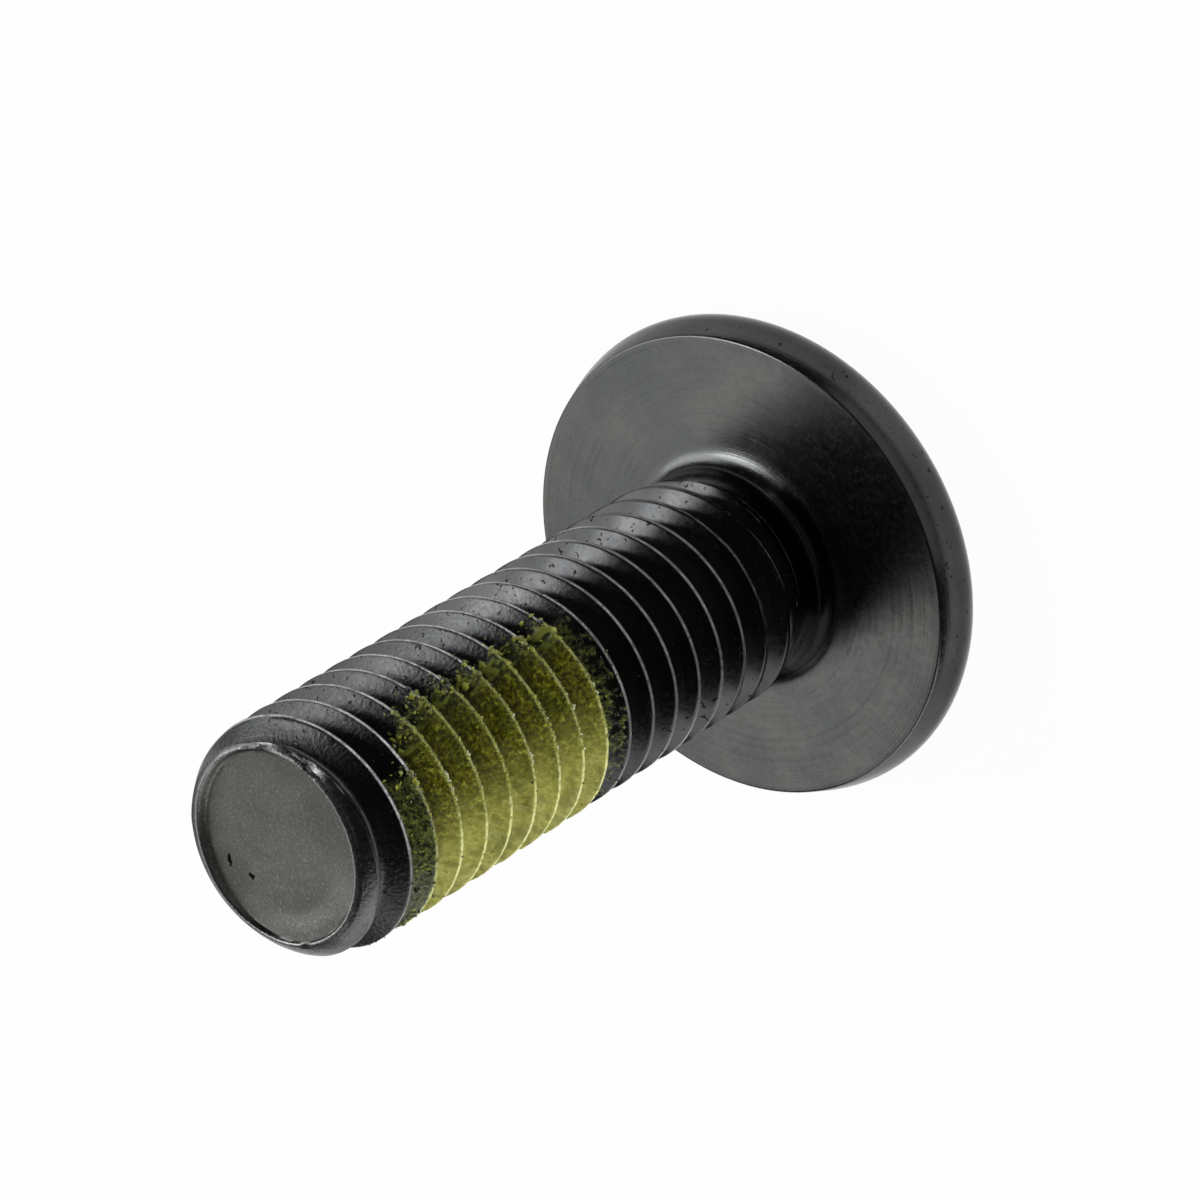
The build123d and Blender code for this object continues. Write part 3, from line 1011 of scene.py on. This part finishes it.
def crumb_material():
    """Crumbs of dry adhesive, from dark green to pale yellow, and white where a glint is painted on."""
    m = Nodes("locking_crumbs")
    s = m.shader.inputs
    s["Coat Weight"].default_value = 0.5
    s["Coat Roughness"].default_value = 0.12
    tone = m.attribute("tone")
    grain = m.noise(9.0, 3.0)
    colour = m.mix(m.span(tone, 0.15, 0.5), *crumb_tones)
    # Tones above 1 are painted glints
    for low, high, paler in ((0.4, 0.75, crumb_yellow), (0.8, 1.0, crumb_pale), (1.0, 1.2, crumb_painted_glint)):
        colour = m.mix(m.span(tone, low, high), colour, paler)
    m.link(colour, s["Base Color"])
    m.link(m.span(grain, 0.35, 0.65, 0.25, 0.5), s["Roughness"])
    m.link(m.bump(grain, 0.02), s["Normal"])
    return m.material


screw.data.materials.append(steel_material())
film.data.materials.append(film_material())
crumbs.data.materials.append(crumb_material())


# ------------------------------------------------------------------ floor, lamps and camera
floor_glow = 0.96            # share of plain white in what the view and the steel see of the floor
world_strength = 0.03
lamps = (
    # name, azimuth, elevation, then distance, width and height in metres, brightness, seen in steel
    ("left_light", 58, 40, 0.6, 0.84, 0.5, 1.0, True),
    ("key_light", 16, 53, 0.6, 0.24, 0.2, 6.4, True),
    ("flank_light", 32, 30, 0.58, 0.5, 0.26, 1.7, True),
    ("front_light", -90, 14, 0.6, 1.0, 0.2, 0.45, True),
    ("low_light", 160, 20, 0.6, 0.6, 0.36, 1.8, True),
    # Two fills that only matt surfaces show
    ("side_fill", -172, 12, 0.6, 0.5, 0.5, 3.2, False),
    ("front_fill", -90, 45, 0.6, 0.5, 0.5, 1.2, False),
)
camera_azimuth, camera_elevation, camera_roll = -90.55, 45.77, -121.25
camera_distance = 0.2114     # metres
camera_aim = (1.43, 0, 10.03)
camera_lens, camera_sensor = 194.6, 36


def floor_material():
    """Matt white floor that shows nearly white in the view and in the steel, and keeps the shadow."""
    m = Nodes("pale_floor")
    m.put_colour(floor_white, m.shader.inputs["Base Color"])
    m.shader.inputs["Roughness"].default_value = 0.9
    glow = m.add("ShaderNodeEmission")
    glow.inputs["Strength"].default_value = 1.0
    path = m.add("ShaderNodeLightPath")
    seen = m.math("MAXIMUM", path.outputs["Is Camera Ray"], path.outputs["Is Glossy Ray"])
    seen = m.math("MAXIMUM", seen, path.outputs["Is Transmission Ray"])
    blend = m.add("ShaderNodeMixShader")
    m.link(m.times(seen, floor_glow), blend.inputs["Fac"])
    m.link(m.shader.outputs["BSDF"], blend.inputs[1])
    m.link(glow.outputs["Emission"], blend.inputs[2])
    output = next(n for n in m.tree.nodes if n.type == "OUTPUT_MATERIAL")
    m.link(blend.outputs["Shader"], output.inputs["Surface"])
    return m.material


def build_floor(half_width=1.5):
    """A wide floor at the height that the screw stands on."""
    mesh = bpy.data.meshes.new("floor")
    corners = [(x * half_width, y * half_width, 0.0) for x, y in ((-1, -1), (1, -1), (1, 1), (-1, 1))]
    mesh.from_pydata(corners, [], [(0, 1, 2, 3)])
    obj = bpy.data.objects.new("floor", mesh)
    bpy.context.scene.collection.objects.link(obj)
    obj.data.materials.append(floor_material())


def direction(azimuth, elevation):
    """A unit vector from two angles."""
    flat = cos(radians(elevation))
    return Vector((flat * cos(radians(azimuth)), flat * sin(radians(azimuth)), sin(radians(elevation))))


def softbox(name, azimuth, elevation, distance, width, height, brightness, in_steel):
    """An area lamp that faces the screw; a brightness of 1 looks white in a mirror."""
    lamp = bpy.data.lights.new(name, "AREA")
    lamp.shape = "RECTANGLE"
    lamp.size, lamp.size_y = width, height
    lamp.energy = brightness * pi * width * height
    obj = bpy.data.objects.new(name, lamp)
    bpy.context.scene.collection.objects.link(obj)
    aim = Vector((0, 0, tip_z * MM / 2))
    toward = direction(azimuth, elevation)
    obj.location = aim + toward * distance
    obj.rotation_euler = toward.to_track_quat("Z", "Y").to_euler()
    obj.visible_glossy = in_steel


def build_lights():
    """The lamps, and a dim even world."""
    for lamp in lamps:
        softbox(*lamp)
    world = bpy.data.worlds.new("studio")
    bpy.context.scene.world = world
    world.use_nodes = True
    background = world.node_tree.nodes["Background"]
    background.inputs["Color"].default_value = (1, 1, 1, 1)
    background.inputs["Strength"].default_value = world_strength


def build_camera():
    """The camera at the photograph's angle, rolled so that the tip points down to the left."""
    toward = direction(camera_azimuth, camera_elevation)
    right = Vector((0, 0, 1)).cross(toward).normalized()
    up = toward.cross(right)
    turn = Matrix.Rotation(radians(camera_roll), 3, toward)
    right, up = turn @ right, turn @ up
    camera = bpy.data.cameras.new("camera")
    camera.lens, camera.sensor_width = camera_lens, camera_sensor
    camera.clip_start, camera.clip_end = 0.01, 20
    obj = bpy.data.objects.new("camera", camera)
    bpy.context.scene.collection.objects.link(obj)
    place = Matrix.Translation(Vector(camera_aim) * MM + toward * camera_distance)
    obj.matrix_world = place @ Matrix((right, up, toward)).transposed().to_4x4()
    bpy.context.scene.camera = obj


build_floor()
build_lights()
build_camera()
bpy.context.scene.view_settings.view_transform = "Standard"
